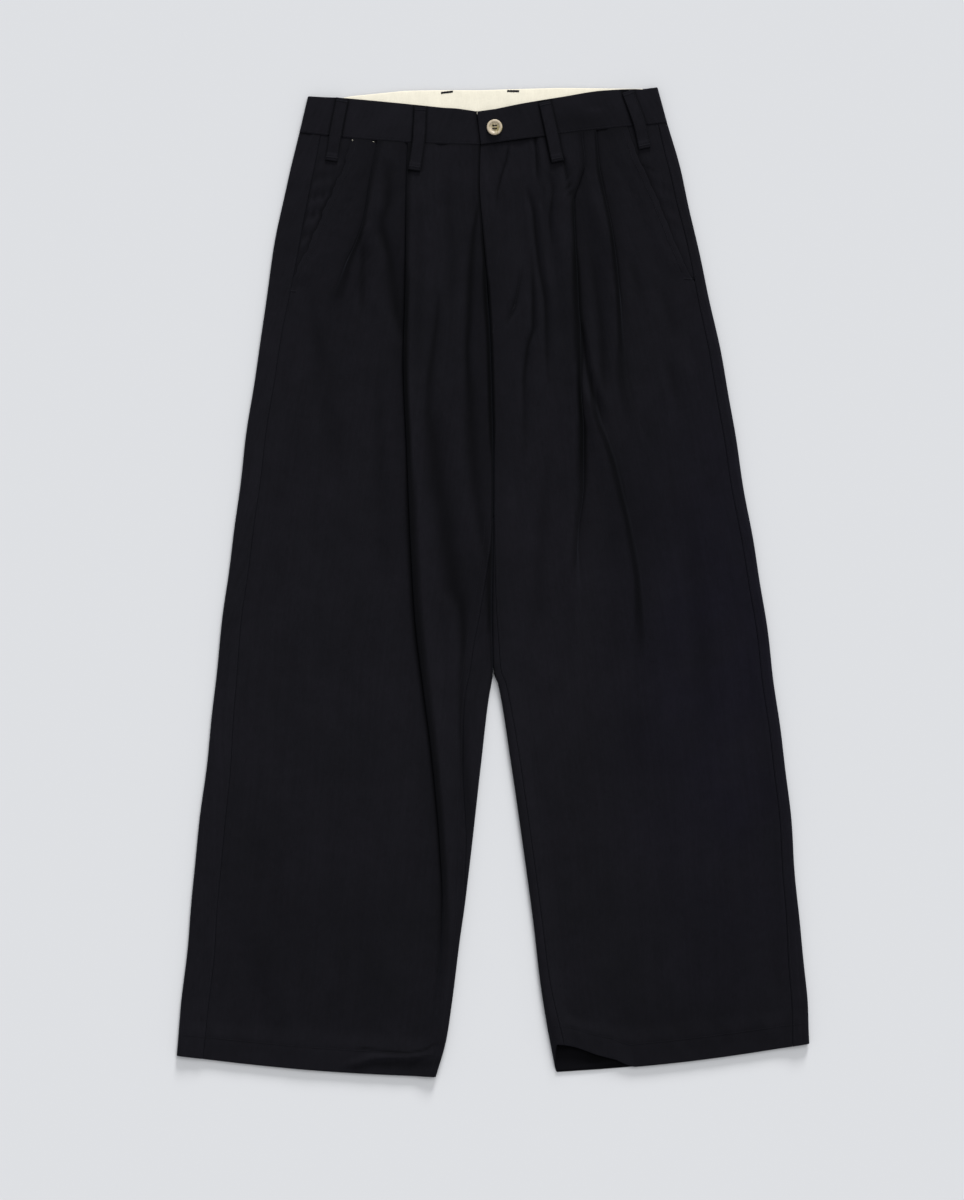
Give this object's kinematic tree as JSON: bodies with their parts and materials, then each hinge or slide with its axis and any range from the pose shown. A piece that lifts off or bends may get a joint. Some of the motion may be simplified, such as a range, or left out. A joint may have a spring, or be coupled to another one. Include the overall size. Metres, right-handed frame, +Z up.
{
  "type": "pleated trousers",
  "caption": "Wide-leg pleated trousers in dark cloth, laid flat with the front up: a waistband with belt loops, reverse pleats, slanted pockets and a fastened button.",
  "frame": {"origin": "middle of the bounding box in x and y, on the surface that the trousers lie on", "axes": "+Z up from the surface, +Y from the hems towards the waistband, +X towards the wearer's left leg"},
  "size_m": [0.7104, 1.111, 0.0127],
  "materials": {
    "navy_cloth": "matt, dense slubby twill, very dark navy",
    "cream_cloth": "matt, fine plain weave, cream",
    "button": "satin, mottled horn brown"
  },
  "bodies": {
    "root": {"front_right": "navy_cloth", "back_right": "navy_cloth", "front_left": "navy_cloth", "back_left": "navy_cloth", "pocket_facing_right": "navy_cloth", "pocket_facing_left": "navy_cloth", "waistband_right": "navy_cloth", "waistband_left": "navy_cloth", "waistband_facing": "cream_cloth", "belt_loop_right_side": "navy_cloth", "belt_loop_right_front": "navy_cloth", "belt_loop_left_front": "navy_cloth", "belt_loop_left_side": "navy_cloth", "belt_loop_back_right": "navy_cloth", "belt_loop_back_left": "navy_cloth", "button": "button"}
  },
  "joints": []
}
